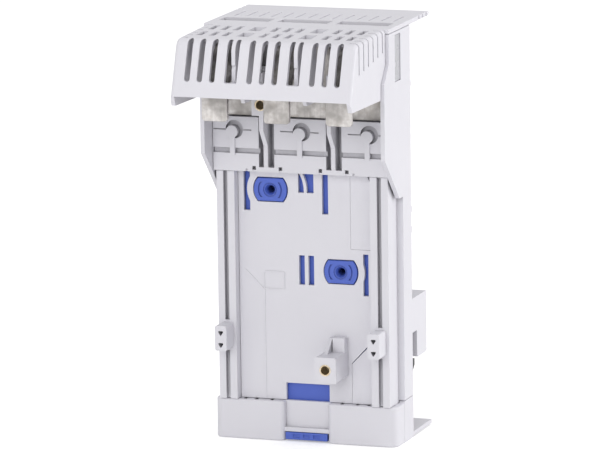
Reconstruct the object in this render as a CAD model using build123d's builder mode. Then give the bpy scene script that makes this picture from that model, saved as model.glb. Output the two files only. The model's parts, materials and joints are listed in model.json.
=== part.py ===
from build123d import *
import os

# Three-pole busbar adapter base with a louvred terminal hood.
# Millimetres, +Z up, front of the object towards -Y, origin on the floor
# below the middle of the whole object.

# ---- driving dimensions ------------------------------------------------------
WIDTH = 90.0                    # over the side walls
HEIGHT = 198.0                  # floor to the top plate
FRONT_Y = -56.0                 # front edge of the hood
REAR_Y = 56.0                   # rear edge of the top guard
POLE_PITCH = 30.0               # between terminal tabs
BAY_PITCH = 33.0                # between terminal bays
BAR_PITCH = 60.0                # between busbars
BAR_THICK = 5.0                 # busbar thickness that the jaws take
BAR_Z = 39.5                    # middle of the lowest 20 mm high busbar
BAR_FRONT = 29.0                # front face of the busbars
BAR_HALF = 10.0                 # half height of a busbar
SLIDE_TRAVEL = 12.0             # stroke of the locking slide
WALL = 2.0                      # moulded wall
GAP = 0.3                       # clearance between separate mouldings

HALF = WIDTH / 2
BODY_HALF = 42.0                # half width of the waist of the housing
BODY_FRONT = 0.5                # front of the side rails
STEP_Y = 14.0                   # where the housing widens to the rear
BODY_BACK = 24.4                # where the rear cover seats inside the housing
HOUSING_BACK = 26.5             # rear edge of the side walls
PANEL_Y = 5.5                   # front of the middle panel
PANEL_THICK = 2.0
PANEL_HALF = 33.2               # half width between the rails
PANEL_STEP_X = 22.0             # right edge of the panel above and below
PANEL_TOP = 131.8
CUP_TOP = 19.0                  # top of the two bottom cups
CUP_FRONT = 1.8
CUP_INNER = 10.7                # half width between the cups
CHEEK_FRONT = -12.0             # front edge of the side cheeks
CHEEK_TOP_FRONT = -5.0          # the same, beside the hood top
BLOCK_FACE = -1.3               # front of the terminal bays
BLOCK_BOTTOM = 128.4            # lower edge of the terminal block
BLOCK_TOP = 176.0
BAY_TOP = 154.0
COVER_BACK = 26.8               # rear face of the rear cover
TOP_PLATE = 2.0
TAB_FRONT = -33.8               # front face of the terminal tabs
TAB_WIDTH = 12.4
TAB_BOTTOM = 157.0
STRIP = 2.5                     # thickness of the copper strip
RISER_Y = 16.8                  # middle of the vertical copper strip
RUN_Z = 188.5                   # middle of the horizontal copper strip
SLIDE_FRONT = 8.2
SLIDE_BACK = 9.8
SLIDE_HALF = 30.5
FOOT_X = (37.0, 40.2)           # locking feet, left and right of centre
SOCKET_X = 17.1                 # blue fixing sockets, left and right of centre
SOCKET_Z = (119.0, 81.5)        # upper and lower socket
SOCKET_RADIUS = 8.1
SOCKET_FLAT = 5.4
SOCKET_GAP = 0.5                # around each socket
INSERT_X = 15.0                 # brass inserts, left upper and right lower
INSERT_Z = (161.9, 38.4)
INSERT_FACE = -13.2
INSERT_RADIUS = 2.75
THREAD_RADIUS = 2.0             # M4
INSERT_LENGTH = 9.0
HOOD_HALF = 43.4
SLOT_WIDTH = 2.7                # narrow louvre
WIDE_SLOT = 6.0                 # louvre at a pole boundary
SLOT_PITCH = 6.0


def block(x0, x1, y0, y1, z0, z1, mode=Mode.ADD):
    """Add or cut a rectangular block between two corners."""
    with Locations(((x0 + x1) / 2, (y0 + y1) / 2, (z0 + z1) / 2)):
        Box(x1 - x0, y1 - y0, z1 - z0, mode=mode)


def mirrored_block(x0, x1, y0, y1, z0, z1, mode=Mode.ADD):
    """The same block on the left and on the right."""
    block(x0, x1, y0, y1, z0, z1, mode)
    block(-x1, -x0, y0, y1, z0, z1, mode)


def finish(part, label):
    """Name a finished piece and write it."""
    part.label = label
    export_step(part, "parts/" + label + ".step")


os.makedirs("parts", exist_ok=True)
busbar_levels = [BAR_Z + 2 * BAR_PITCH, BAR_Z + BAR_PITCH, BAR_Z]
pole_centres = [-POLE_PITCH, 0.0, POLE_PITCH]
bay_centres = [-BAY_PITCH, 0.0, BAY_PITCH]

# ---- housing -------------------------------------------------------------
GROOVE_X = (36.6, 38.7)         # groove in each rail
GROOVE_DEPTH = (3.2, 2.6)       # above and below the ears
CAVITY_Y = 9.4                  # front of the inner space
EAR_X = (34.6, 40.4)
EAR_Z = (44.0, 56.0)
EAR_FRONT = -9.7
LEDGE_X = 31.2                  # the panel rests on ledges outside this
GUARD_TOP = 20.0                # the bottom guard reaches up to here
ROOF = HEIGHT - TOP_PLATE - GAP
LABEL_Y = (4.0, 12.4)
LABEL_Z = (172.2, 194.2)
LABEL_DEPTH = 0.8
COVER_SCREWS = ((-39.6, 186.0), (39.6, 186.0), (-39.6, 75.0), (39.6, 75.0))
SCREW_RADIUS = 1.25
SPRING_X = 24.0                 # return springs, left and right of centre
SPRING_Y = 10.7
SPRING_FLOOR = 4.4
WAIST_TOP = BLOCK_BOTTOM - 0.5
REAR_HALF = HALF - WALL
SLANT_TOP = 138.0               # the cheeks slope back at 45 degrees below this
SLANT_FOOT = (9.0, 117.0)       # where the slope ends

with BuildPart() as base_housing:
    # waist, wide rear half and the foot that stands inside the cups
    block(-BODY_HALF, BODY_HALF, BODY_FRONT, STEP_Y, CUP_TOP + GAP, WAIST_TOP)
    block(-HALF, HALF, STEP_Y, HOUSING_BACK, GUARD_TOP + GAP, ROOF)
    block(-BODY_HALF, BODY_HALF, PANEL_Y + 2.4, BODY_BACK, 2.4, GUARD_TOP + 1.0)
    # side cheeks beside the terminals
    for side in (-1, 1):
        with BuildSketch(Plane.YZ.offset(side * (HALF - WALL / 2))) as cheek_profile:
            with BuildLine():
                Polyline(
                    (STEP_Y + 1.0, ROOF),
                    (CHEEK_TOP_FRONT, ROOF),
                    (CHEEK_TOP_FRONT, 182.0),
                    (CHEEK_FRONT, 173.5),
                    (CHEEK_FRONT, SLANT_TOP),
                    SLANT_FOOT,
                    (STEP_Y + 1.0, SLANT_FOOT[1]),
                    close=True,
                )
            make_face()
        extrude(amount=WALL / 2, both=True)
    # the cheeks close onto the waist behind the slope
    mirrored_block(BODY_HALF - 3.0, HALF - 0.5, SLANT_FOOT[0], STEP_Y + 1.0, SLANT_FOOT[1],
                   WAIST_TOP)
    # hollow inside, open to the rear
    block(-40.6, 40.6, CAVITY_Y, COVER_BACK + 1.0, 4.4, ROOF - 1.8, mode=Mode.SUBTRACT)
    block(-REAR_HALF, REAR_HALF, STEP_Y + 2.0, COVER_BACK + 1.0, 21.5, ROOF + 1.0,
          mode=Mode.SUBTRACT)
    block(-REAR_HALF, REAR_HALF, -20.0, STEP_Y + 3.0, WAIST_TOP + 0.2, ROOF + 1.0,
          mode=Mode.SUBTRACT)
    # front opening that takes the panel, and its ledges
    block(-PANEL_HALF, PANEL_HALF, -1.0, PANEL_Y + 2.3, 0.0, PANEL_TOP, mode=Mode.SUBTRACT)
    block(-LEDGE_X, LEDGE_X, 0.0, 12.0, 0.0, PANEL_TOP, mode=Mode.SUBTRACT)
    # raised corners to the right of the panel
    block(PANEL_STEP_X + 0.2, PANEL_HALF + 0.5, PANEL_Y - 0.3, PANEL_Y + 2.1, 92.6, WAIST_TOP)
    block(LEDGE_X - 0.2, PANEL_HALF + 0.5, PANEL_Y, PANEL_Y + 2.5, 92.6, WAIST_TOP)
    with BuildSketch(Plane.XZ.offset(-(PANEL_Y - 0.3))) as lower_corner:
        with BuildLine():
            Polyline(
                (PANEL_STEP_X + 0.2, CUP_TOP + GAP),
                (PANEL_HALF + 0.5, CUP_TOP + GAP),
                (PANEL_HALF + 0.5, 50.0),
                (PANEL_STEP_X + 0.2, 38.2),
                close=True,
            )
        make_face()
    extrude(amount=-2.4)
    # triangular pocket at the top right corner
    with BuildSketch(Plane.XZ.offset(-(PANEL_Y - 0.3))) as corner_pocket:
        with BuildLine():
            Polyline((30.5, 127.4), (32.5, 127.4), (32.5, 122.7), close=True)
        make_face()
    extrude(amount=-1.6, mode=Mode.SUBTRACT)
    # ears with two triangular holes each
    mirrored_block(EAR_X[0], EAR_X[1], EAR_FRONT, BODY_FRONT + 1.0, EAR_Z[0], EAR_Z[1])
    ear_edges = base_housing.edges().filter_by(Axis.Y)
    ear_edges = ear_edges.filter_by_position(Axis.Y, EAR_FRONT - 1.0, BODY_FRONT)
    fillet(ear_edges, radius=1.0)
    for side in (-1, 1):
        with BuildSketch(Plane.XZ.offset(-EAR_FRONT)) as ear_holes:
            with Locations((side * 37.5, 52.6), (side * 37.5, 46.9)):
                RegularPolygon(radius=1.75, side_count=3, rotation=-90)
            fillet(ear_holes.vertices(), radius=0.4)
        extrude(amount=-6.0, mode=Mode.SUBTRACT)
    # grooves down the rails, above and below the ears
    groove_spans = ((EAR_Z[1] + 1.0, WAIST_TOP + 1.0), (10.0, EAR_Z[0] - 1.5))
    for depth, (z_low, z_high) in zip(GROOVE_DEPTH, groove_spans):
        mirrored_block(*GROOVE_X, -1.0, BODY_FRONT + depth, z_low, z_high, mode=Mode.SUBTRACT)
    # bosses that take the cover screws
    for x, z in COVER_SCREWS:
        with BuildSketch(Plane.XZ.offset(-BODY_BACK)) as screw_boss:
            with Locations((x, z)):
                Circle(2.8)
            with Locations((x * 1.06, z)):
                Rectangle(4.0, 4.0)
        extrude(amount=9.6)
        with BuildSketch(Plane.XZ.offset(-BODY_BACK)) as screw_hole:
            with Locations((x, z)):
                Circle(SCREW_RADIUS)
        extrude(amount=9.0, mode=Mode.SUBTRACT)
    # label recesses in both side walls
    mirrored_block(
        HALF - LABEL_DEPTH, HALF + 1.0, LABEL_Y[0], LABEL_Y[1], LABEL_Z[0], LABEL_Z[1],
        mode=Mode.SUBTRACT,
    )
    # seats of the return springs, each with a centring pin
    mirrored_block(SPRING_X - 3.6, SPRING_X + 3.6, PANEL_Y + 2.4, STEP_Y + 1.0, 2.4, SPRING_FLOOR)
    with BuildSketch(Plane.XY.offset(SPRING_FLOOR)) as spring_pins:
        with Locations((-SPRING_X, SPRING_Y), (SPRING_X, SPRING_Y)):
            Circle(1.3)
    extrude(amount=4.0)
finish(base_housing.part, "base_housing")

# ---- middle panel ----------------------------------------------------------
WINDOW_TOP = 128.5              # top of the windows below the terminal block
RING_RADIUS = 11.6              # land around each socket
WEB_RADIUS = (16.4, 17.8)       # curved web between the paired windows
BOSS_X = (9.9, 20.2)
BOSS_Z = (32.2, 44.4)

with BuildPart() as front_panel:
    with BuildSketch(Plane.XZ.offset(-PANEL_Y)) as panel_outline:
        with BuildLine():
            Polyline(
                (-PANEL_HALF + 0.2, CUP_TOP + GAP),
                (PANEL_STEP_X, CUP_TOP + GAP),
                (PANEL_STEP_X, 38.4),
                (PANEL_HALF - 0.2, 50.2),
                (PANEL_HALF - 0.2, 92.4),
                (PANEL_STEP_X, 92.4),
                (PANEL_STEP_X, PANEL_TOP - 0.2),
                (-PANEL_HALF + 0.2, PANEL_TOP - 0.2),
                close=True,
            )
        make_face()
        # windows over the blue slide
        with BuildSketch(mode=Mode.PRIVATE) as upper_ring:
            with Locations((-SOCKET_X, SOCKET_Z[0])):
                Circle(RING_RADIUS)
        with BuildSketch(mode=Mode.PRIVATE) as lower_ring:
            with Locations((SOCKET_X, SOCKET_Z[1])):
                Circle(RING_RADIUS)
        with BuildSketch(mode=Mode.PRIVATE) as left_window:
            with Locations((-28.8, (108.7 + WINDOW_TOP) / 2)):
                Rectangle(3.2, WINDOW_TOP - 108.7)
            add(upper_ring.sketch, mode=Mode.SUBTRACT)
        with BuildSketch(mode=Mode.PRIVATE) as right_window:
            with Locations((29.3, 80.5)):
                Rectangle(2.6, 19.8)
            add(lower_ring.sketch, mode=Mode.SUBTRACT)
        with BuildSketch(mode=Mode.PRIVATE) as curved_web:
            with Locations((-SOCKET_X, SOCKET_Z[0])):
                Circle(WEB_RADIUS[1])
                Circle(WEB_RADIUS[0], mode=Mode.SUBTRACT)
        with BuildSketch(mode=Mode.PRIVATE) as paired_windows:
            with Locations((0.3, (118.1 + WINDOW_TOP) / 2)):
                Rectangle(7.6, WINDOW_TOP - 118.1)
            add(curved_web.sketch, mode=Mode.SUBTRACT)
        add(left_window.sketch, mode=Mode.SUBTRACT)
        add(right_window.sketch, mode=Mode.SUBTRACT)
        add(paired_windows.sketch, mode=Mode.SUBTRACT)
        with Locations((9.7, (108.4 + WINDOW_TOP) / 2)):
            Rectangle(3.0, WINDOW_TOP - 108.4, mode=Mode.SUBTRACT)
        with Locations((-2.1, 81.5), (2.5, 81.5)):
            Rectangle(2.8, 14.0, mode=Mode.SUBTRACT)
        with Locations((0.1, 23.3)):
            Rectangle(21.4, 8.2, mode=Mode.SUBTRACT)
        # double-D windows of the two sockets
        for x, z in ((-SOCKET_X, SOCKET_Z[0]), (SOCKET_X, SOCKET_Z[1])):
            with BuildSketch(mode=Mode.PRIVATE) as double_d:
                with Locations((x, z)):
                    Circle(SOCKET_RADIUS + SOCKET_GAP)
                    Rectangle(20.0, 2 * (SOCKET_FLAT + SOCKET_GAP), mode=Mode.INTERSECT)
            add(double_d.sketch, mode=Mode.SUBTRACT)
    extrude(amount=-PANEL_THICK)
    # faint raised field and step on the face
    with BuildSketch(Plane.XZ.offset(-PANEL_Y)) as raised_field:
        with Locations((-15.8, 76.0)):
            RectangleRounded(10.4, 8.8, 0.8)
            RectangleRounded(9.4, 7.8, 0.6, mode=Mode.SUBTRACT)
    extrude(amount=0.3)
    with BuildSketch(Plane.XZ.offset(-PANEL_Y)) as raised_step:
        with BuildLine():
            Polyline(
                (-21.0, CUP_TOP + GAP), (-20.4, CUP_TOP + GAP), (-20.4, 71.4),
                (-29.4, 80.4), (-30.0, 80.4), (-21.0, 71.4), close=True,
            )
        make_face()
    extrude(amount=0.25)
    # boss that carries the lower insert, with its rib and the block above it
    block(BOSS_X[0], BOSS_X[1], INSERT_FACE, PANEL_Y + 0.5, BOSS_Z[0], BOSS_Z[1])
    boss_edges = front_panel.edges().filter_by(Axis.Y)
    boss_edges = boss_edges.filter_by_position(Axis.Y, INSERT_FACE - 1.0, PANEL_Y - 1.0)
    fillet(boss_edges, radius=0.8)
    with BuildSketch(Plane.YZ.offset(12.8)) as boss_rib:
        with BuildLine():
            Polyline((-6.0, 44.0), (2.0, 50.6), (6.0, 50.6), (6.0, 44.0), close=True)
        make_face()
    extrude(amount=0.9, both=True)
    block(14.2, 20.0, 0.5, PANEL_Y + 0.5, 44.0, 51.0)
    # socket of the threaded insert
    with BuildSketch(Plane.XZ.offset(-INSERT_FACE)) as insert_hole:
        with Locations((INSERT_X, INSERT_Z[1])):
            Circle(INSERT_RADIUS)
    extrude(amount=-(INSERT_LENGTH + 1.5), mode=Mode.SUBTRACT)
    # hollow behind the boss
    block(11.9, 18.2, -1.2, PANEL_Y + 3.0, 34.2, 42.4, mode=Mode.SUBTRACT)
finish(front_panel.part, "front_panel")

# ---- terminal block ----------------------------------------------------------
BLOCK_HALF = 42.7
BLOCK_BACK = 12.0
DIVIDER = 1.0                   # half thickness of the walls between bays
GROOVE_Z = (136.8, 139.3)
BOSS_LEVEL = 147.0
POST_X = (-19.2, -10.8)
POST_Z = (156.8, 167.2)

with BuildPart() as terminal_block:
    block(-BLOCK_HALF, BLOCK_HALF, BLOCK_FACE, BLOCK_BACK, BLOCK_BOTTOM, BAY_TOP)
    block(-BLOCK_HALF, BLOCK_HALF, 3.4, BLOCK_BACK, BAY_TOP - 1.0, BLOCK_TOP)
    # the block is hollow from behind
    for bay in bay_centres:
        for half_width, y_front, z_low, z_high in (
            (13.6, BLOCK_FACE + 6.4, BLOCK_BOTTOM + 4.0, 173.0),
            (12.4, BLOCK_FACE + 4.4, BLOCK_BOTTOM + 5.8, 151.8),
        ):
            x_low = max(bay - half_width, -BLOCK_HALF + 1.7)
            x_high = min(bay + half_width, BLOCK_HALF - 1.7)
            block(x_low, x_high, y_front, BLOCK_BACK + 1.0, z_low, z_high, mode=Mode.SUBTRACT)
    # hidden groove across each bay
    for bay in bay_centres:
        x_low = max(bay - BAY_PITCH / 2 + 3.0, -BLOCK_HALF - 1.0)
        x_high = min(bay + BAY_PITCH / 2 - 3.0, BLOCK_HALF + 1.0)
        block(x_low, bay - DIVIDER, -4.0, BLOCK_FACE + 2.2, *GROOVE_Z, mode=Mode.SUBTRACT)
        block(bay + DIVIDER, x_high, -4.0, BLOCK_FACE + 2.2, *GROOVE_Z, mode=Mode.SUBTRACT)
        # recess and round peg with its cross slits
        with BuildSketch(Plane.XZ.offset(-BLOCK_FACE)) as peg_recess:
            with Locations((bay + 0.9, BOSS_LEVEL + 1.0)):
                Circle(4.3)
        extrude(amount=-2.4, mode=Mode.SUBTRACT)
        with BuildSketch(Plane.XZ.offset(-BLOCK_FACE + 1.2)) as peg:
            with Locations((bay, BOSS_LEVEL)):
                Circle(2.9)
        extrude(amount=-4.2)
        block(bay - 9.5, bay - 3.0, -4.0, BLOCK_FACE + 1.0, BOSS_LEVEL + 0.6, BOSS_LEVEL + 1.2,
              mode=Mode.SUBTRACT)
        block(bay + 4.6, bay + 9.3, -4.0, BLOCK_FACE + 1.0, BOSS_LEVEL + 0.6, BOSS_LEVEL + 1.2,
              mode=Mode.SUBTRACT)
        # raised rib below the peg
        block(bay - 1.2, bay + 1.2, BLOCK_FACE - 0.7, BLOCK_FACE + 1.0, 136.0, BOSS_LEVEL - 2.4)
    # deep slots on both sides of each dividing wall
    for side in (-1, 1):
        wall_x = side * BAY_PITCH / 2
        block(wall_x - DIVIDER - 2.7, wall_x - DIVIDER, -4.0, BLOCK_FACE + 5.8, 130.6, 160.0,
              mode=Mode.SUBTRACT)
        block(wall_x + DIVIDER, wall_x + DIVIDER + 2.9, -4.0, BLOCK_FACE + 5.8, 130.6, 160.0,
              mode=Mode.SUBTRACT)
        # forward wing of the wall, narrow below and wide above
        with BuildSketch(Plane.YZ.offset(wall_x)) as wing:
            with BuildLine():
                Polyline(
                    (BLOCK_FACE + 2.0, 131.0), (BLOCK_FACE - 0.8, 131.0),
                    (BLOCK_FACE - 0.8, 141.0), (-8.0, 149.0), (-8.0, BLOCK_TOP),
                    (6.0, BLOCK_TOP), (6.0, 150.0), (BLOCK_FACE + 2.0, 150.0), close=True,
                )
            make_face()
        extrude(amount=DIVIDER, both=True)
    # snap windows below the bays, each with a shallow mark down to the edge
    for x in (-22.6, -9.7, 9.9, 22.8):
        block(x - 0.9, x + 0.9, -4.0, BLOCK_FACE + 3.0, 129.2, 131.0, mode=Mode.SUBTRACT)
        block(x - 0.7, x + 0.7, -4.0, BLOCK_FACE + 0.4, 128.0, 129.4, mode=Mode.SUBTRACT)
    # notches in the lower edge
    mirrored_block(25.6, 26.8, -4.0, BLOCK_FACE + 1.0, 128.0, 129.6, mode=Mode.SUBTRACT)
    # room behind the lower edge for the panel and the locking slide
    block(-33.6, 33.6, PANEL_Y - GAP, BLOCK_BACK + 1.0, 120.0, PANEL_TOP + 0.8,
          mode=Mode.SUBTRACT)
    # post of the upper insert
    block(POST_X[0], POST_X[1], INSERT_FACE, 4.0, POST_Z[0], POST_Z[1])
    with BuildSketch(Plane.XZ.offset(-INSERT_FACE)) as upper_insert_hole:
        with Locations((-INSERT_X, INSERT_Z[0])):
            Circle(INSERT_RADIUS)
    extrude(amount=-(INSERT_LENGTH + 1.5), mode=Mode.SUBTRACT)
finish(terminal_block.part, "terminal_block")

# ---- threaded inserts ------------------------------------------------------
for name, x, z in (
    ("threaded_insert_upper", -INSERT_X, INSERT_Z[0]),
    ("threaded_insert_lower", INSERT_X, INSERT_Z[1]),
):
    with BuildPart() as threaded_insert:
        with BuildSketch(Plane.XZ.offset(0.3 - INSERT_FACE)) as insert_ring:
            with Locations((x, z)):
                Circle(INSERT_RADIUS - 0.02)
                Circle(THREAD_RADIUS, mode=Mode.SUBTRACT)
        extrude(amount=-(INSERT_LENGTH + 0.3))
        front_rings = threaded_insert.edges().filter_by(GeomType.CIRCLE).group_by(Axis.Y)[0]
        chamfer(front_rings, length=0.25)
    finish(threaded_insert.part, name)

# ---- blue fixing sockets -----------------------------------------------------
SOCKET_FACE = PANEL_Y - 0.6
SOCKET_REAR = 14.0
for name, x, z in (
    ("fixing_socket_upper", -SOCKET_X, SOCKET_Z[0]),
    ("fixing_socket_lower", SOCKET_X, SOCKET_Z[1]),
):
    with BuildPart() as fixing_socket:
        with BuildSketch(Plane.XZ.offset(-SOCKET_FACE)) as socket_outline:
            with Locations((x, z)):
                Circle(SOCKET_RADIUS)
                Rectangle(20.0, 2 * SOCKET_FLAT, mode=Mode.INTERSECT)
        extrude(amount=-(SOCKET_REAR - SOCKET_FACE))
        face_edges = fixing_socket.edges().group_by(Axis.Y)[0]
        fillet(face_edges, radius=0.4)
        with BuildSketch(Plane.XZ.offset(-(PANEL_Y + PANEL_THICK + 0.02))) as socket_flange:
            with Locations((x, z)):
                Rectangle(18.2, 13.2)
        extrude(amount=-2.2)
        with BuildSketch(Plane.XZ.offset(-SOCKET_FACE)) as socket_ring:
            with Locations((x, z)):
                Circle(3.4)
                Circle(2.8, mode=Mode.SUBTRACT)
        extrude(amount=-0.5, mode=Mode.SUBTRACT)
        for side in (-1, 1):
            with BuildSketch(Plane.XZ.offset(-SOCKET_FACE)) as socket_arc:
                with Locations((x, z)):
                    Circle(6.0)
                    Circle(5.2, mode=Mode.SUBTRACT)
                with Locations((x + side * 6.0, z)):
                    Rectangle(4.6, 7.2, mode=Mode.INTERSECT)
            extrude(amount=-0.7, mode=Mode.SUBTRACT)
        with Locations(Location((x, SOCKET_FACE, z), (90, 0, 0))):
            CounterSinkHole(radius=1.6, counter_sink_radius=2.6, depth=12.0, counter_sink_angle=50)
    finish(fixing_socket.part, name)

# ---- bottom cover with its two cups ---------------------------------------------
with BuildPart() as bottom_cover:
    block(-HALF, HALF, CUP_FRONT, 13.0, 0.0, CUP_TOP)
    corners = bottom_cover.edges().filter_by(Axis.Z).group_by(Axis.Y)[0]
    fillet(corners, radius=4.0)
    # open centre between the cups, with a ledge over the handle
    block(-CUP_INNER, CUP_INNER, 0.0, 14.0, -1.0, CUP_TOP + 1.0, mode=Mode.SUBTRACT)
    inner_corners = bottom_cover.edges().filter_by(Axis.Z).group_by(Axis.Y)[0]
    fillet(inner_corners, radius=2.4)
    # each cup is hollow from behind
    mirrored_block(CUP_INNER + 1.8, HALF - WALL, CUP_FRONT + WALL, 14.0, WALL, CUP_TOP - 1.6,
                   mode=Mode.SUBTRACT)
    mirrored_block(CUP_INNER - 2.0, BODY_HALF + 0.3, PANEL_Y + 2.1, 14.0, WALL, CUP_TOP + 1.0,
                   mode=Mode.SUBTRACT)
    block(-CUP_INNER - 0.3, CUP_INNER + 0.3, PANEL_Y, PANEL_Y + PANEL_THICK, 4.6, CUP_TOP)
    block(-CUP_INNER - 0.3, CUP_INNER + 0.3, PANEL_Y - 2.4, PANEL_Y + PANEL_THICK, 4.6, 6.6)
    soft_edges = bottom_cover.edges().filter_by(GeomType.LINE).filter_by(Axis.X)
    soft_edges = soft_edges.group_by(Axis.Y)[0]
    fillet(soft_edges, radius=0.8)
    # drain slots along the top of the cups
    for x in (17.4, 25.0, 30.4, 36.6):
        mirrored_block(x - 0.9, x + 0.9, CUP_FRONT + 1.4, PANEL_Y + 2.0, CUP_TOP - 3.0,
                       CUP_TOP + 1.0, mode=Mode.SUBTRACT)
finish(bottom_cover.part, "bottom_cover")

# ---- guards at the rear ------------------------------------------------------------
FLANGE_REAR = 54.7
with BuildPart() as bottom_guard:
    block(-HALF, HALF, 13.0 + GAP, COVER_BACK, 0.0, GUARD_TOP)
    block(-BODY_HALF - 0.3, BODY_HALF + 0.3, 12.0, COVER_BACK + 1.0, WALL, GUARD_TOP + 1.0,
          mode=Mode.SUBTRACT)
    side_tops = bottom_guard.edges().filter_by(Axis.X).group_by(Axis.Z)[-1].group_by(Axis.Y)[0]
    fillet(side_tops, radius=2.0)
    block(-HALF, HALF, COVER_BACK - 1.0, FLANGE_REAR, 0.6, 2.6)
    for x in (-30.0, -10.0, 10.0, 30.0):
        with BuildSketch(Plane.YZ.offset(x)) as gusset:
            with BuildLine():
                Polyline((COVER_BACK - 0.5, 2.2), (42.0, 2.2), (COVER_BACK - 0.5, 10.0), close=True)
            make_face()
        extrude(amount=0.8, both=True)
    # strip that ties the gussets together behind the feet
    block(-31.0, 31.0, COVER_BACK - 1.6, COVER_BACK - 0.1, 1.0, 10.0)
finish(bottom_guard.part, "bottom_guard")

LONG_SLOT_Y = (6.0, 16.0)
RIB_Y = (20.5, 36.0)
with BuildPart() as top_guard:
    block(-HALF, HALF, CHEEK_TOP_FRONT, REAR_Y, HEIGHT - TOP_PLATE, HEIGHT)
    # one long opening over each pole
    for x_low, x_high in ((-42.0, -17.2), (-13.4, 11.4), (15.2, 41.0)):
        block(x_low, x_high, LONG_SLOT_Y[0], LONG_SLOT_Y[1], HEIGHT - 5.0, HEIGHT + 1.0,
              mode=Mode.SUBTRACT)
    # fine grooves running front to back
    groove_count = 14
    for index in range(groove_count):
        x = (index - (groove_count - 1) / 2) * 6.0
        block(x - 0.5, x + 0.5, RIB_Y[0], RIB_Y[1], HEIGHT - 0.7, HEIGHT + 1.0, mode=Mode.SUBTRACT)
    # notches in both edges of the overhang
    for y in (40.0, 45.5, 51.0):
        mirrored_block(HALF - 1.0, HALF + 1.0, y, y + 2.2, HEIGHT - 5.0, HEIGHT + 1.0,
                       mode=Mode.SUBTRACT)
    # downward lips that locate in the housing
    mirrored_block(40.6, 42.6, 18.0, 24.0, HEIGHT - 8.0, HEIGHT - TOP_PLATE + 0.5)
    for x in (-30.0, -10.0, 10.0, 30.0):
        with BuildSketch(Plane.YZ.offset(x)) as top_gusset:
            with BuildLine():
                Polyline(
                    (COVER_BACK + 0.4, HEIGHT - 1.0), (46.0, HEIGHT - 1.0),
                    (COVER_BACK + 0.4, HEIGHT - 9.0), close=True,
                )
            make_face()
        extrude(amount=0.8, both=True)
finish(top_guard.part, "top_guard")

# ---- rear cover with the hooks ---------------------------------------------------
JAW_HALF = 7.4
HOOK_TOP_GAP = BAR_HALF + 0.2   # underside of a hook above the bar middle
SLIT_BACK = BAR_FRONT + BAR_THICK + 0.3
with BuildPart() as rear_cover:
    block(-42.7, 42.7, BODY_BACK + 0.3, COVER_BACK, 22.0, ROOF - 0.3)
    block(-40.2, 40.2, BODY_BACK + 0.3, COVER_BACK, 10.6, 22.5)
    # windows for the contact jaws
    for x, z in zip(pole_centres, busbar_levels):
        block(x - JAW_HALF, x + JAW_HALF, 20.0, 30.0, z - 12.0, z + 15.0, mode=Mode.SUBTRACT)
    # slots for the locking feet
    mirrored_block(FOOT_X[0] - 0.5, FOOT_X[1] + 0.5, 20.0, 30.0, 11.2, 33.0, mode=Mode.SUBTRACT)
    # outer hooks over the lowest busbar
    for side in (-1, 1):
        with BuildSketch(Plane.YZ.offset(side * 40.6)) as lower_hook:
            with BuildLine():
                Polyline(
                    (COVER_BACK, 66.0), (49.0, 66.0), (49.0, 37.5), (46.0, 36.8),
                    (SLIT_BACK + 1.0, 36.8), (SLIT_BACK, 38.4), (SLIT_BACK, BAR_Z + HOOK_TOP_GAP),
                    (COVER_BACK, BAR_Z + HOOK_TOP_GAP), close=True,
                )
            make_face()
        extrude(amount=4.1, both=True)
        block(side * 40.6 - 2.2, side * 40.6 + 2.2, 36.0, 50.0, 40.0, 63.0, mode=Mode.SUBTRACT)
    # short hooks over the two upper busbars
    for z, x_list in ((busbar_levels[0], (-10.0, 10.0, 34.0)), (busbar_levels[1], (-30.0, 30.0))):
        for x in x_list:
            with BuildSketch(Plane.YZ.offset(x)) as short_hook:
                with BuildLine():
                    Polyline(
                        (COVER_BACK - 0.5, z + 15.5), (SLIT_BACK + 1.0, z + 15.5),
                        (SLIT_BACK + 3.0, z + 13.0), (SLIT_BACK + 3.0, z + 4.0),
                        (SLIT_BACK + 1.0, z + 1.5), (SLIT_BACK, z + 3.0),
                        (SLIT_BACK, z + HOOK_TOP_GAP), (COVER_BACK - 0.5, z + HOOK_TOP_GAP),
                        close=True,
                    )
                make_face()
            extrude(amount=3.0, both=True)
    # snap nubs along both edges
    for z in (99.0, 108.6, 168.2):
        mirrored_block(41.0, 44.6, COVER_BACK, COVER_BACK + 2.0, z - 1.4, z + 1.4)
    # countersunk screw holes
    for x, z in COVER_SCREWS:
        with Locations(Location((x, COVER_BACK, z), (-90, 0, 0))):
            CounterSinkHole(radius=SCREW_RADIUS, counter_sink_radius=2.5, depth=8.0,
                            counter_sink_angle=90)
finish(rear_cover.part, "rear_cover")

# ---- louvred hood ------------------------------------------------------------------
HOOD_KNEE = (-46.9, 197.0)
HOOD_FRONT_Z = 171.6
HOOD_SIDE_Z = 167.0
HOOD_REAR = CHEEK_TOP_FRONT - GAP
LEAN = (HOOD_KNEE[0] - FRONT_Y) / (HOOD_KNEE[1] - HOOD_FRONT_Z)
TONGUE_X = (41.4, 42.6)
FRONT_SLOT_Z = (178.2, 197.0)
HOOD_EDGE = 2.0                 # rounding where the sides meet front and top
GRIP_DEPTH = 0.8
GRIP_WIDTH = 1.2
TOP_SLOTS_Y = ((-36.5, -26.0), (-21.0, -10.0))
narrow_slots = [pole + step * SLOT_PITCH for pole in pole_centres for step in (-1, 0, 1)]
wide_slots = [-POLE_PITCH / 2, POLE_PITCH / 2]

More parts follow.
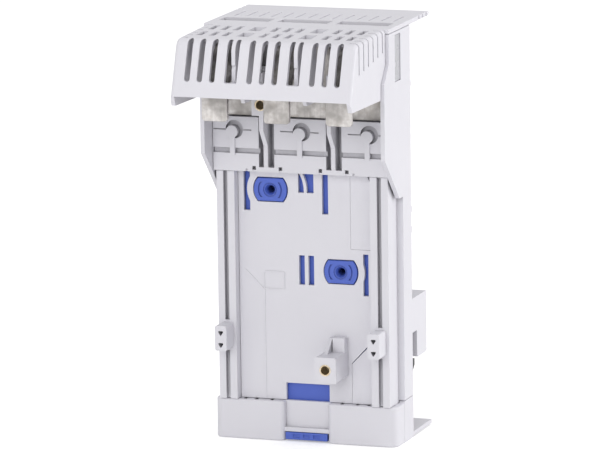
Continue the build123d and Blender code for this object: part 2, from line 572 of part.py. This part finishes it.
with BuildPart() as terminal_hood:
    with BuildSketch(Plane.YZ) as hood_outline:
        with BuildLine():
            Polyline(
                (FRONT_Y, HOOD_FRONT_Z),
                HOOD_KNEE,
                (HOOD_REAR, HEIGHT),
                (HOOD_REAR, 182.0),
                (CHEEK_FRONT - GAP, 173.5),
                (CHEEK_FRONT - GAP, HOOD_SIDE_Z - 0.8),
                (FRONT_Y + 2.2, HOOD_SIDE_Z),
                close=True,
            )
        make_face()
    extrude(amount=HOOD_HALF, both=True)
    knee_edge = terminal_hood.edges().filter_by(Axis.X).sort_by_distance((0, *HOOD_KNEE))[0]
    fillet(knee_edge, radius=5.0)
    side_edges = terminal_hood.edges().filter_by_position(Axis.Z, HOOD_FRONT_Z, HEIGHT)
    side_edges = side_edges.filter_by_position(Axis.Y, FRONT_Y, HOOD_REAR)
    side_edges = [edge for edge in side_edges if abs(edge.center().X) > HOOD_HALF - 0.1]
    side_edges = [edge for edge in side_edges if edge.center().Z > 184.0 and edge.length > 5.0
                  and abs(edge.center().Y - HOOD_REAR) > 1.0]
    fillet(side_edges, radius=HOOD_EDGE)
    # inner space, open below and to the rear
    with BuildSketch(Plane.YZ) as hood_inside:
        with BuildLine():
            Polyline(
                (FRONT_Y + 3.0 + LEAN * (HOOD_SIDE_Z - 10.0 - HOOD_FRONT_Z), HOOD_SIDE_Z - 10.0),
                (FRONT_Y + 2.2 + LEAN * (191.0 - HOOD_FRONT_Z), 191.0),
                (HOOD_KNEE[0] + 4.6, HOOD_KNEE[1] - 2.0),
                (0.0, HEIGHT - 2.0),
                (0.0, HOOD_SIDE_Z - 10.0),
                close=True,
            )
        make_face()
    extrude(amount=HOOD_HALF - WALL, both=True, mode=Mode.SUBTRACT)
    block(-HOOD_HALF + WALL, HOOD_HALF - WALL, FRONT_Y - 2.0, FRONT_Y + 8.0, 160.0, HOOD_FRONT_Z,
          mode=Mode.SUBTRACT)
    # inner webs behind the wide louvres
    for x in wide_slots:
        with BuildSketch(Plane.YZ.offset(x)) as inner_web:
            with BuildLine():
                Polyline(
                    (-52.0, 174.0), (-44.8, 194.0), (-42.0, HOOD_KNEE[1] - 1.2),
                    (-22.0, HOOD_KNEE[1] - 0.8), (-22.0, 166.4), (-36.0, 166.4), (-40.0, 172.0),
                    close=True,
                )
            make_face()
        extrude(amount=0.9, both=True)
        block(x - 0.9, x + 0.9, -54.2, -50.0, 172.6, 177.0)
    # louvres in the leaning front
    louvres = [(x, SLOT_WIDTH, SLOT_WIDTH / 2 - 0.05, -42.0) for x in narrow_slots]
    louvres += [(x, WIDE_SLOT, 1.4, -48.6) for x in wide_slots]
    louvres += [(x + side * 1.95, WIDE_SLOT / 2 - 0.9, 0.6, -42.0)
                for x in wide_slots for side in (-1, 1)]
    for x, width, corner, y_back in louvres:
        with BuildSketch(Plane.XZ.offset(-(FRONT_Y - 2.0))) as louvre:
            with Locations((x, (FRONT_SLOT_Z[0] + FRONT_SLOT_Z[1]) / 2)):
                Rectangle(width, FRONT_SLOT_Z[1] - FRONT_SLOT_Z[0])
            fillet(louvre.vertices().group_by(Axis.Z)[-1], radius=corner)
        extrude(amount=-(y_back - FRONT_Y + 2.0), mode=Mode.SUBTRACT)
    # two rows of short slots in the top
    for y_low, y_high in TOP_SLOTS_Y:
        for x in narrow_slots:
            block(x - SLOT_WIDTH / 2, x + SLOT_WIDTH / 2, y_low, y_high, 190.0, HEIGHT + 1.0,
                  mode=Mode.SUBTRACT)
        for x in wide_slots:
            block(x - WIDE_SLOT / 2, x + WIDE_SLOT / 2, y_low, y_high, HOOD_KNEE[1] - 3.4,
                  HEIGHT + 1.0, mode=Mode.SUBTRACT)
    # grip grooves on both side walls, carried over the top edge
    for index in range(6):
        y = -43.2 + index * 6.8
        groove_low = 182.6 + index
        top_slope = (HEIGHT - HOOD_KNEE[1]) / (HOOD_REAR - HOOD_KNEE[0])
        surface = HOOD_KNEE[1] + (y - HOOD_KNEE[0]) * top_slope
        with BuildSketch(Plane.XZ.offset(-(y - GRIP_WIDTH / 2))) as grip_groove:
            with Locations((0.0, (groove_low + HEIGHT + 1.0) / 2)):
                Rectangle(2 * HOOD_HALF + 2.0, HEIGHT + 1.0 - groove_low)
            with Locations((0.0, surface - GRIP_DEPTH - 20.0)):
                RectangleRounded(2 * (HOOD_HALF - GRIP_DEPTH), 40.0, HOOD_EDGE - GRIP_DEPTH / 2,
                                 mode=Mode.SUBTRACT)
            with Locations((0.0, HEIGHT)):
                Rectangle(2 * (HOOD_HALF - 4.6), 20.0, mode=Mode.SUBTRACT)
        extrude(amount=-GRIP_WIDTH, mode=Mode.SUBTRACT)
    # tongues that slide along the inside of the cheeks
    mirrored_block(TONGUE_X[0], TONGUE_X[1], -20.0, 8.0, 184.0, 192.0)
finish(terminal_hood.part, "terminal_hood")

# ---- conductors, one per pole ----------------------------------------------------------
plate_spans = ((-41.0, -19.6), (-9.6, 14.6), (18.0, 41.0))
for name, x, z, plate_span in zip(("l1", "l2", "l3"), pole_centres, busbar_levels, plate_spans):
    with BuildPart() as conductor:
        with BuildSketch(Plane.YZ.offset(x)) as strip_section:
            with BuildLine() as strip_path:
                FilletPolyline(
                    (RISER_Y, z - 6.0),
                    (RISER_Y, RUN_Z),
                    (-16.0, RUN_Z),
                    (TAB_FRONT + STRIP / 2, 172.0),
                    (TAB_FRONT + STRIP / 2, TAB_BOTTOM),
                    radius=4.0,
                )
            trace(line_width=STRIP)
        extrude(amount=TAB_WIDTH / 2, both=True)
        tab_corners = conductor.edges().filter_by(Axis.Y)
        tab_corners = tab_corners.filter_by_position(Axis.Z, TAB_BOTTOM - 0.1, TAB_BOTTOM + 0.1)
        fillet(tab_corners, radius=1.6)
        # wide plate that stands on the terminal block
        block(*plate_span, 0.6, 2.6, BAY_TOP + GAP, RUN_Z)
    finish(conductor.part, "conductor_" + name)

# ---- contact jaws and their springs ------------------------------------------------------
JAW_THICK = 2.2
BEAD = 0.9                      # radius of the contact beads
JAW_FRONT = BAR_FRONT + 0.1 - BEAD - JAW_THICK / 2      # middle of the front leg
JAW_REAR = BAR_FRONT + BAR_THICK - 0.1 + BEAD + JAW_THICK / 2
for name, x, z in zip(("l1", "l2", "l3"), pole_centres, busbar_levels):
    with BuildPart() as contact_jaw:
        with BuildSketch(Plane.YZ.offset(x)) as jaw_section:
            with BuildLine():
                FilletPolyline(
                    (JAW_FRONT, z - 9.0),
                    (JAW_FRONT, z + 12.2),
                    (JAW_REAR, z + 12.2),
                    (JAW_REAR, z - 2.0),
                    (JAW_REAR + 2.0, z - 6.0),
                    radius=2.4,
                )
            trace(line_width=JAW_THICK)
        extrude(amount=6.0, both=True)
        # contact beads that touch the busbar
        for y in (JAW_FRONT + JAW_THICK / 2, JAW_REAR - JAW_THICK / 2):
            with Locations(Location((x, y, z + 3.0), (0, 90, 0))):
                Cylinder(radius=BEAD, height=11.0)
        # stem back to the conductor
        block(x - 5.0, x + 5.0, RISER_Y + STRIP / 2, JAW_FRONT - 0.4, z - 5.0, z + 5.0)
    finish(contact_jaw.part, "contact_jaw_" + name)
    with BuildPart() as jaw_spring:
        with BuildSketch(Plane.YZ.offset(x)) as spring_section:
            with BuildLine():
                FilletPolyline(
                    (JAW_FRONT + 4.0, z + 13.8),
                    (JAW_REAR + 1.6, z + 13.8),
                    (JAW_REAR + 1.6, z - 1.4),
                    radius=2.6,
                )
            trace(line_width=0.8)
        extrude(amount=4.0, both=True)
    finish(jaw_spring.part, "jaw_spring_" + name)

# ---- locking slide -----------------------------------------------------------------------
HANDLE_Z = (0.8, 4.3)
with BuildPart() as locking_slide:
    block(-SLIDE_HALF, SLIDE_HALF, SLIDE_FRONT, SLIDE_BACK, 32.5, PANEL_TOP - 0.6)
    block(-19.0, 19.0, SLIDE_FRONT, SLIDE_BACK, 18.4, 33.0)
    block(-9.8, 9.8, SLIDE_FRONT, SLIDE_BACK, HANDLE_Z[0], 19.0)
    # clearance for the sockets over the whole stroke
    block(-SOCKET_X - 9.4, -SOCKET_X + 9.4, 8.0, 10.0, SOCKET_Z[0] - 7.0, 140.0,
          mode=Mode.SUBTRACT)
    block(SOCKET_X - 9.4, SOCKET_X + 9.4, 8.0, 10.0, SOCKET_Z[1] - 7.0,
          SOCKET_Z[1] + SLIDE_TRAVEL + 7.0, mode=Mode.SUBTRACT)
    block(13.4, SLIDE_HALF + 1.0, 8.0, 10.0, 104.0, 140.0, mode=Mode.SUBTRACT)
    # handle under the ledge, with two finger grooves
    block(-CUP_INNER + 0.4, CUP_INNER - 0.4, CUP_FRONT + 0.6, SLIDE_BACK, *HANDLE_Z)
    handle_edges = locking_slide.edges().filter_by(Axis.X).group_by(Axis.Y)[0]
    fillet(handle_edges, radius=0.6)
    for x in (-5.0, 0.0, 5.0):
        block(x - 1.6, x + 1.6, 1.0, CUP_FRONT + 1.2, HANDLE_Z[0] + 1.0, HANDLE_Z[1] - 0.8,
              mode=Mode.SUBTRACT)
finish(locking_slide.part, "locking_slide")

# ---- yoke behind the slide, its rivets and the two feet --------------------------------------
YOKE_Z = (25.0, 31.0)
YOKE_Y = (SLIDE_BACK, SLIDE_BACK + 2.0)
with BuildPart() as locking_yoke:
    block(-40.0, 40.0, *YOKE_Y, *YOKE_Z)
    yoke_ends = locking_yoke.edges().filter_by(Axis.Y)
    fillet(yoke_ends, radius=1.0)
    with BuildSketch(Plane.XZ.offset(-YOKE_Y[0])) as rivet_holes:
        with Locations((-12.0, 28.0), (12.0, 28.0)):
            Circle(1.5)
    extrude(amount=-4.0, mode=Mode.SUBTRACT)
finish(locking_yoke.part, "locking_yoke")

with BuildPart() as yoke_rivets:
    with BuildSketch(Plane.XZ.offset(-YOKE_Y[0])) as rivet_shanks:
        with Locations((-12.0, 28.0), (12.0, 28.0)):
            Circle(1.5)
    extrude(amount=-(YOKE_Y[1] - YOKE_Y[0]))
    with BuildSketch(Plane.XZ.offset(-YOKE_Y[1])) as rivet_heads:
        with Locations((-12.0, 28.0), (12.0, 28.0)):
            Circle(2.5)
    extrude(amount=-0.9)
finish(yoke_rivets.part, "yoke_rivets")

BAR_BOTTOM = BAR_Z - BAR_HALF - 0.4     # the feet pass under the busbar and hook behind it
for name, side in (("left", -1), ("right", 1)):
    with BuildPart() as locking_foot:
        with BuildSketch(Plane.YZ.offset(side * (FOOT_X[0] + FOOT_X[1]) / 2)) as foot_section:
            with BuildLine():
                Polyline(
                    (YOKE_Y[1], YOKE_Z[0]), (YOKE_Y[1], YOKE_Z[1]), (23.0, YOKE_Z[1]),
                    (BAR_FRONT - 1.6, BAR_BOTTOM), (SLIT_BACK + 0.8, BAR_BOTTOM),
                    (SLIT_BACK + 0.8, BAR_BOTTOM + 4.2), (38.0, 35.4), (44.0, 34.0),
                    (44.0, 31.0), (37.6, 25.2), (24.0, 24.2), close=True,
                )
            make_face()
        extrude(amount=(FOOT_X[1] - FOOT_X[0]) / 2, both=True)
    finish(locking_foot.part, "locking_foot_" + name)

# ---- return springs under the yoke -------------------------------------------------------------
SPRING_TURNS = 7
SPRING_RADIUS = 2.0
SPRING_WIRE = 0.35
coil_height = YOKE_Z[0] - SPRING_FLOOR - 2 * SPRING_WIRE - 0.1
for name, side in (("left", -1), ("right", 1)):
    with BuildPart() as return_spring:
        with BuildLine():
            coil = Helix(
                pitch=coil_height / SPRING_TURNS,
                height=coil_height,
                radius=SPRING_RADIUS,
                center=(side * SPRING_X, SPRING_Y, SPRING_FLOOR + SPRING_WIRE + 0.05),
            )
        with BuildSketch(Plane(origin=coil @ 0, z_dir=coil % 0)) as wire_section:
            Circle(SPRING_WIRE)
        sweep(is_frenet=True)
    finish(return_spring.part, "return_spring_" + name)

# ---- label plates and screws ---------------------------------------------------------
with BuildPart() as side_labels:
    mirrored_block(HALF - LABEL_DEPTH, HALF - LABEL_DEPTH + 0.4, LABEL_Y[0] + 0.4,
                   LABEL_Y[1] - 0.4, LABEL_Z[0] + 0.4, LABEL_Z[1] - 0.4)
finish(side_labels.part, "side_labels")

with BuildPart() as cover_screws:
    for x, z in COVER_SCREWS:
        with BuildSketch(Plane.XZ.offset(-COVER_BACK)) as screw_head:
            with Locations((x, z)):
                Circle(2.4)
        extrude(amount=1.1, taper=44)
        with BuildSketch(Plane.XZ.offset(-COVER_BACK)) as screw_shank:
            with Locations((x, z)):
                Circle(SCREW_RADIUS)
        extrude(amount=10.0)
        # cross recess
        with BuildSketch(Plane.XZ.offset(-COVER_BACK)) as cross_recess:
            with Locations((x, z)):
                Rectangle(2.8, 0.6)
                Rectangle(0.6, 2.8)
        extrude(amount=1.0, mode=Mode.SUBTRACT)
finish(cover_screws.part, "cover_screws")
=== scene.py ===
import json
import math

import bmesh
import bpy
from mathutils import Matrix, Vector


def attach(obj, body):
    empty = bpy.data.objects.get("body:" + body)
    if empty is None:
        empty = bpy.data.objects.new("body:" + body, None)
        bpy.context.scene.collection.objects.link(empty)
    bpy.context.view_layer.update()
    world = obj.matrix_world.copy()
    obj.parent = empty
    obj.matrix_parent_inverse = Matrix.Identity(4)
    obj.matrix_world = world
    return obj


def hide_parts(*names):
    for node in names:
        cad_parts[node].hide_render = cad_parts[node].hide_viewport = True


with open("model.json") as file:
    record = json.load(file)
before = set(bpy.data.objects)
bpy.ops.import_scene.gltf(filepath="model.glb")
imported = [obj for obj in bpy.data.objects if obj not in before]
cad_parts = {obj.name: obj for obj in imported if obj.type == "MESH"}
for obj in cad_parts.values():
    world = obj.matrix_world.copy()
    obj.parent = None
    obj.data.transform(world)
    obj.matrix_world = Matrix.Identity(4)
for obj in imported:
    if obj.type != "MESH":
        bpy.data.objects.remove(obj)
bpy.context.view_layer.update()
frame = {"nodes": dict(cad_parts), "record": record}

MM = 0.001
NODES = frame["nodes"]
RECORD = frame["record"]
SLOTS = {part["node"]: part["material_slot"] for part in RECORD["subparts"]}
BODIES = {node: body for body, nodes in RECORD["behaviour"]["bodies"].items() for node in nodes}


# ---- camera ----------------------------------------------------------------------
VIEW_AZIMUTH = 19.12            # degrees to the right of straight on
VIEW_ELEVATION = 10.61
VIEW_ROLL = -0.78
VIEW_DISTANCE = 2.488           # metres
VIEW_LENS = 325.0               # long lens, nearly parallel view
AIM_FORWARD = Vector((0.0, -0.0313, 0.100))
AIM_SHIFT = (0.0093, 0.0095)    # aim right of and above that point


def make_camera():
    """The camera stands in front, to the right and a little above."""
    azimuth = math.radians(VIEW_AZIMUTH)
    elevation = math.radians(VIEW_ELEVATION)
    back = Vector((
        math.sin(azimuth) * math.cos(elevation),
        -math.cos(azimuth) * math.cos(elevation),
        math.sin(elevation),
    ))
    right = Vector((math.cos(azimuth), math.sin(azimuth), 0.0))
    up = back.cross(right)
    roll = math.radians(VIEW_ROLL)
    rolled_right = right * math.cos(roll) + up * math.sin(roll)
    rolled_up = up * math.cos(roll) - right * math.sin(roll)
    place = AIM_FORWARD + rolled_right * AIM_SHIFT[0] + rolled_up * AIM_SHIFT[1]
    place = place + back * VIEW_DISTANCE
    turn = Matrix((rolled_right, rolled_up, back)).transposed()
    data = bpy.data.cameras.new("camera")
    data.lens = VIEW_LENS
    data.sensor_width = 36.0
    data.clip_start = 0.05
    data.clip_end = 50.0
    camera = bpy.data.objects.new("camera", data)
    camera.matrix_world = Matrix.Translation(place) @ turn.to_4x4()
    bpy.context.scene.collection.objects.link(camera)
    bpy.context.scene.camera = camera


# ---- materials --------------------------------------------------------------------
class Shader:
    """A short way to build a node material."""

    def __init__(self, name):
        self.material = bpy.data.materials.new(name)
        self.material.use_nodes = True
        self.tree = self.material.node_tree
        self.bsdf = self.tree.nodes["Principled BSDF"]
        self.coords = self.node("ShaderNodeTexCoord").outputs["Object"]

    def node(self, kind, **settings):
        made = self.tree.nodes.new(kind)
        for key, value in settings.items():
            setattr(made, key, value)
        return made

    def link(self, source, target):
        self.tree.links.new(source, target)

    def noise(self, scale, detail=3.0, roughness=0.55, stretch=None):
        noise = self.node("ShaderNodeTexNoise")
        noise.inputs["Scale"].default_value = scale
        noise.inputs["Detail"].default_value = detail
        noise.inputs["Roughness"].default_value = roughness
        coords = self.coords
        if stretch:
            mapping = self.node("ShaderNodeMapping")
            mapping.inputs["Scale"].default_value = stretch
            self.link(coords, mapping.inputs["Vector"])
            coords = mapping.outputs["Vector"]
        self.link(coords, noise.inputs["Vector"])
        return noise.outputs["Fac"]

    def remap(self, source, low, high, to_low=0.0, to_high=1.0):
        ramp = self.node("ShaderNodeMapRange")
        ramp.inputs["From Min"].default_value = low
        ramp.inputs["From Max"].default_value = high
        ramp.inputs["To Min"].default_value = to_low
        ramp.inputs["To Max"].default_value = to_high
        self.link(source, ramp.inputs["Value"])
        return ramp.outputs["Result"]

    def mix(self, factor, first, second):
        mix = self.node("ShaderNodeMix", data_type="RGBA")
        self.link(factor, mix.inputs["Factor"])
        for socket, value in ((mix.inputs[6], first), (mix.inputs[7], second)):
            if isinstance(value, tuple):
                socket.default_value = (*value, 1.0)
            else:
                self.link(value, socket)
        return mix.outputs[2]

    def add(self, first, second, operation="ADD"):
        maths = self.node("ShaderNodeMath", operation=operation)
        for socket, value in zip(maths.inputs, (first, second)):
            if isinstance(value, float):
                socket.default_value = value
            else:
                self.link(value, socket)
        return maths.outputs[0]

    def crevice(self, distance, own_shape=True):
        """Close to 0 in tight corners and 1 on open faces."""
        occlusion = self.node("ShaderNodeAmbientOcclusion", samples=8, only_local=own_shape)
        occlusion.inputs["Distance"].default_value = distance
        return occlusion.outputs["AO"]

    def paint_shade(self, body, shade_factor, closed, open_air, own_shape=True):
        """Paints shade into a colour deep inside slots and housings: darkens it by the given factor
        where ambient occlusion finds it closed in.
        """
        inside = self.remap(self.crevice(0.030, own_shape), closed, open_air, shade_factor, 1.0)
        scale = self.node("ShaderNodeVectorMath", operation="SCALE")
        self.link(body, scale.inputs[0])
        self.link(inside, scale.inputs["Scale"])
        return scale.outputs["Vector"]

    def edges(self, radius):
        """Close to 1 on outer edges, from how far a rounded normal turns."""
        bevel = self.node("ShaderNodeBevel", samples=4)
        bevel.inputs["Radius"].default_value = radius
        geometry = self.node("ShaderNodeNewGeometry")
        dot = self.node("ShaderNodeVectorMath", operation="DOT_PRODUCT")
        self.link(bevel.outputs["Normal"], dot.inputs[0])
        self.link(geometry.outputs["Normal"], dot.inputs[1])
        return self.remap(dot.outputs["Value"], 0.998, 0.93)

    def bump(self, height, strength, distance):
        bump = self.node("ShaderNodeBump")
        bump.inputs["Strength"].default_value = strength
        bump.inputs["Distance"].default_value = distance
        self.link(height, bump.inputs["Height"])
        self.link(bump.outputs["Normal"], self.bsdf.inputs["Normal"])

    def set(self, **values):
        for key, value in values.items():
            self.bsdf.inputs[key.replace("_", " ")].default_value = value


def moulded_plastic(name, light, dark, worn, grain=1500.0, sheen_low=0.42, sheen_high=0.56,
                    shade_factor=0.66):
    """Spark-eroded moulded plastic: fine grain, faint flow clouds, rubbed edges, painted shade in tight
    corners and painted shade deep inside slots and housings.
    """
    shader = Shader(name)
    clouds = shader.noise(14.0, detail=4.0)
    flow = shader.noise(60.0, detail=3.0, stretch=(1.0, 1.0, 0.25))
    tone = shader.add(shader.add(clouds, 0.65, "MULTIPLY"), shader.add(flow, 0.35, "MULTIPLY"))
    body = shader.mix(shader.remap(tone, 0.35, 0.65), light, dark)
    # painted shade: the colour turns a tenth darker in tight corners, where ambient occlusion closes in
    corner_shade = tuple(channel * 0.90 for channel in dark)
    open_face = shader.remap(shader.crevice(0.004), 0.20, 0.80)
    body = shader.mix(open_face, corner_shade, body)
    wear_patches = shader.remap(shader.noise(240.0, detail=5.0), 0.46, 0.62)
    wear = shader.add(shader.edges(0.0005), wear_patches, "MULTIPLY")
    body = shader.mix(shader.add(wear, 0.55, "MULTIPLY"), body, worn)
    # painted shade: darkens the colour deep inside slots and housings, down to the given factor in
    # closed pockets
    shader.link(shader.paint_shade(body, shade_factor, 0.12, 0.55), shader.bsdf.inputs["Base Color"])
    fine = shader.noise(grain, detail=2.0, roughness=0.6)
    gloss = shader.remap(shader.noise(90.0, detail=4.0), 0.3, 0.7, sheen_low, sheen_high)
    shader.link(gloss, shader.bsdf.inputs["Roughness"])
    shader.bump(fine, 0.16, 0.00012)
    shader.set(IOR=1.5)
    return shader.material


def plated_metal(name, light, dark, blotch, rough_low, rough_high, metallic=1.0, grain=420.0):
    """Plated sheet: mottled crystals, blotches, faint rolling lines and painted shade deep inside the
    housing.
    """
    shader = Shader(name)
    mottle = shader.noise(grain, detail=6.0, roughness=0.7)
    blotches = shader.noise(150.0, detail=5.0, roughness=0.65)
    patches = shader.noise(75.0, detail=3.0, roughness=0.5)
    lines = shader.noise(700.0, detail=2.0, stretch=(1.0, 1.0, 0.04))
    tone = shader.add(shader.add(mottle, 0.6, "MULTIPLY"), shader.add(lines, 0.4, "MULTIPLY"))
    body = shader.mix(shader.remap(tone, 0.38, 0.62), light, dark)
    body = shader.mix(shader.remap(blotches, 0.52, 0.70), body, blotch)
    dull = tuple(channel * 0.62 for channel in dark)
    body = shader.mix(shader.remap(patches, 0.42, 0.58, 0.0, 0.85), body, dull)
    # painted shade: darkens the metal down to a quarter deep inside the housing, counting other parts
    # as cover
    shader.link(shader.paint_shade(body, 0.25, 0.15, 0.60, own_shape=False), shader.bsdf.inputs["Base Color"])
    shader.link(shader.remap(mottle, 0.3, 0.7, rough_low, rough_high), shader.bsdf.inputs["Roughness"])
    shader.bump(tone, 0.25, 0.00010)
    shader.set(Metallic=metallic)
    return shader.material


def turned_brass(name):
    shader = Shader(name)
    rings = shader.noise(1200.0, detail=2.0, stretch=(0.2, 1.0, 0.2))
    tarnish = shader.remap(shader.noise(500.0, detail=4.0), 0.42, 0.68)
    shader.link(shader.mix(tarnish, (0.95, 0.82, 0.60), (0.76, 0.62, 0.40)),
                shader.bsdf.inputs["Base Color"])
    shader.link(shader.remap(rings, 0.3, 0.7, 0.30, 0.48), shader.bsdf.inputs["Roughness"])
    shader.bump(rings, 0.3, 0.00005)
    shader.set(Metallic=1.0)
    return shader.material


def make_materials():
    return {
        "grey_plastic": moulded_plastic(
            "grey_plastic", (0.700, 0.690, 0.735), (0.675, 0.665, 0.712), (0.77, 0.77, 0.80)),
        "blue_plastic": moulded_plastic(
            "blue_plastic", (0.082, 0.142, 0.560), (0.070, 0.122, 0.510), (0.14, 0.20, 0.55),
            grain=1300.0, sheen_low=0.34, sheen_high=0.46),
        "black_plastic": moulded_plastic(
            "black_plastic", (0.018, 0.018, 0.020), (0.012, 0.012, 0.014), (0.05, 0.05, 0.05)),
        "label_plastic": moulded_plastic(
            "label_plastic", (0.52, 0.52, 0.55), (0.42, 0.42, 0.45), (0.62, 0.62, 0.64),
            sheen_low=0.22, sheen_high=0.34),
        "tinned_copper": plated_metal(
            "tinned_copper", (0.80, 0.77, 0.75), (0.58, 0.55, 0.53), (0.70, 0.63, 0.57), 0.34, 0.56),
        "spring_steel": plated_metal(
            "spring_steel", (0.62, 0.62, 0.63), (0.42, 0.42, 0.44), (0.50, 0.49, 0.48), 0.18, 0.36),
        "zinc_steel": plated_metal(
            "zinc_steel", (0.66, 0.67, 0.70), (0.50, 0.51, 0.54), (0.60, 0.60, 0.58), 0.26, 0.46),
        "brass": turned_brass("brass"),
    }


# ---- rounded copies of the moulded parts -----------------------------------------------
SHARP = math.radians(32.0)      # edges sharper than this are rounded
CREASE = math.radians(50.0)     # edges sharper than this stay creased in the shading
FLAT = math.radians(0.6)        # faces closer than this count as one flat face
WELD = 0.000002


def clean_mesh(source):
    """A copy of a CAD mesh with its flat faces joined into single faces."""
    mesh = source.data.copy()
    shape = bmesh.new()
    shape.from_mesh(mesh)
    bmesh.ops.remove_doubles(shape, verts=shape.verts, dist=WELD)
    bmesh.ops.dissolve_limit(shape, angle_limit=FLAT, verts=shape.verts,
                             edges=shape.edges, use_dissolve_boundaries=False)
    shape.to_mesh(mesh)
    shape.free()
    return mesh


def rounded(node, width, segments=2):
    """Stands for a CAD node, the same shape with its sharp edges rounded."""
    source = NODES[node]
    mesh = clean_mesh(source)
    mesh.name = node + "_rounded"
    piece = bpy.data.objects.new(node + "_rounded", mesh)
    bpy.context.scene.collection.objects.link(piece)
    bevel = piece.modifiers.new("edges", "BEVEL")
    bevel.limit_method = "ANGLE"
    bevel.angle_limit = SHARP
    bevel.width = width
    bevel.segments = segments
    bevel.use_clamp_overlap = True
    bevel.harden_normals = False
    bpy.context.view_layer.update()
    depsgraph = bpy.context.evaluated_depsgraph_get()
    final = bpy.data.meshes.new_from_object(piece.evaluated_get(depsgraph))
    piece.modifiers.clear()
    piece.data = final
    weigh_normals(piece)
    piece.data.materials.clear()
    piece.data.materials.append(materials[SLOTS[node]])
    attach(piece, BODIES[node])
    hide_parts(node)
    return piece


def weigh_normals(piece):
    """Smooth shading that keeps the large faces flat."""
    for polygon in piece.data.polygons:
        polygon.use_smooth = True
    piece.data.set_sharp_from_angle(angle=CREASE)
    weighted = piece.modifiers.new("weighted", "WEIGHTED_NORMAL")
    weighted.keep_sharp = True
    bpy.context.view_layer.update()
    depsgraph = bpy.context.evaluated_depsgraph_get()
    final = bpy.data.meshes.new_from_object(piece.evaluated_get(depsgraph))
    piece.modifiers.clear()
    piece.data = final


# ---- stage -----------------------------------------------------------------------------
SKY_LIGHT = 0.64                # light of the sky on the object
SKY_SEEN = 1.02                 # strength of the sky that the camera sees
FLOOR_REACH = 14.0              # metres from the middle to each edge
FLOOR_GLOW = 0.34               # lifts the seen floor to white, lights nothing
LIGHT_AIM = (0.0, 0.0, 0.10)
SOFT_BOXES = (
    ("front", (0.0, -2.6, 1.1), (1.4, 1.4), 23.2),
    ("rim_right", (2.3, 1.1, 0.7), (1.3, 1.6), 33.0),
    ("top", (0.0, -0.2, 2.5), (1.4, 1.4), 10.6),
)


def soft_light(name, place, target, size, power):
    data = bpy.data.lights.new(name, "AREA")
    data.shape = "RECTANGLE"
    data.size = size[0]
    data.size_y = size[1]
    data.energy = power
    light = bpy.data.objects.new(name, data)
    light.location = place
    direction = Vector(target) - Vector(place)
    light.rotation_euler = direction.to_track_quat("-Z", "Y").to_euler()
    bpy.context.scene.collection.objects.link(light)


def make_stage():
    """A pale floor, a white sky and soft boxes."""
    bpy.context.scene.view_settings.view_transform = "Standard"
    floor_mesh = bpy.data.meshes.new("floor")
    reach = FLOOR_REACH
    floor_mesh.from_pydata(
        [(-reach, -reach, 0), (reach, -reach, 0), (reach, reach, 0), (-reach, reach, 0)],
        [], [(0, 1, 2, 3)])
    floor = bpy.data.objects.new("floor", floor_mesh)
    bpy.context.scene.collection.objects.link(floor)
    shader = Shader("floor")
    mottle = shader.noise(6.0, detail=3.0)
    shader.link(shader.mix(mottle, (0.90, 0.90, 0.90), (0.93, 0.93, 0.93)),
                shader.bsdf.inputs["Base Color"])
    shader.set(Roughness=0.85, Emission_Color=(1.0, 1.0, 1.0, 1.0))
    seen_floor = shader.node("ShaderNodeLightPath").outputs["Is Camera Ray"]
    shader.link(shader.add(seen_floor, FLOOR_GLOW, "MULTIPLY"), shader.bsdf.inputs["Emission Strength"])
    floor_mesh.materials.append(shader.material)
    world = bpy.data.worlds.new("studio")
    world.use_nodes = True
    tree = world.node_tree
    ambient = tree.nodes["Background"]
    ambient.inputs["Color"].default_value = (1.0, 1.0, 1.0, 1.0)
    ambient.inputs["Strength"].default_value = SKY_LIGHT
    seen = tree.nodes.new("ShaderNodeBackground")
    seen.inputs["Color"].default_value = (1.0, 1.0, 1.0, 1.0)
    seen.inputs["Strength"].default_value = SKY_SEEN
    path = tree.nodes.new("ShaderNodeLightPath")
    choose = tree.nodes.new("ShaderNodeMixShader")
    tree.links.new(path.outputs["Is Camera Ray"], choose.inputs["Fac"])
    tree.links.new(ambient.outputs["Background"], choose.inputs[1])
    tree.links.new(seen.outputs["Background"], choose.inputs[2])
    tree.links.new(choose.outputs["Shader"], tree.nodes["World Output"].inputs["Surface"])
    bpy.context.scene.world = world
    for name, place, size, power in SOFT_BOXES:
        soft_light(name, place, LIGHT_AIM, size, power)


make_camera()
materials = make_materials()
make_stage()

ROUNDED = {
    "base_housing": 0.00035,
    "front_panel": 0.00025,
    "terminal_block": 0.00030,
    "bottom_cover": 0.00035,
    "bottom_guard": 0.00035,
    "top_guard": 0.00025,
    "rear_cover": 0.00035,
    "terminal_hood": 0.00040,
    "locking_slide": 0.00025,
    "fixing_socket_upper": 0.00020,
    "fixing_socket_lower": 0.00020,
    "conductor_l1": 0.00030,
    "conductor_l2": 0.00030,
    "conductor_l3": 0.00030,
}
for name, width in ROUNDED.items():
    rounded(name, width)

for name, part in NODES.items():
    if name not in ROUNDED:
        part.data.materials.clear()
        part.data.materials.append(materials[SLOTS[name]])
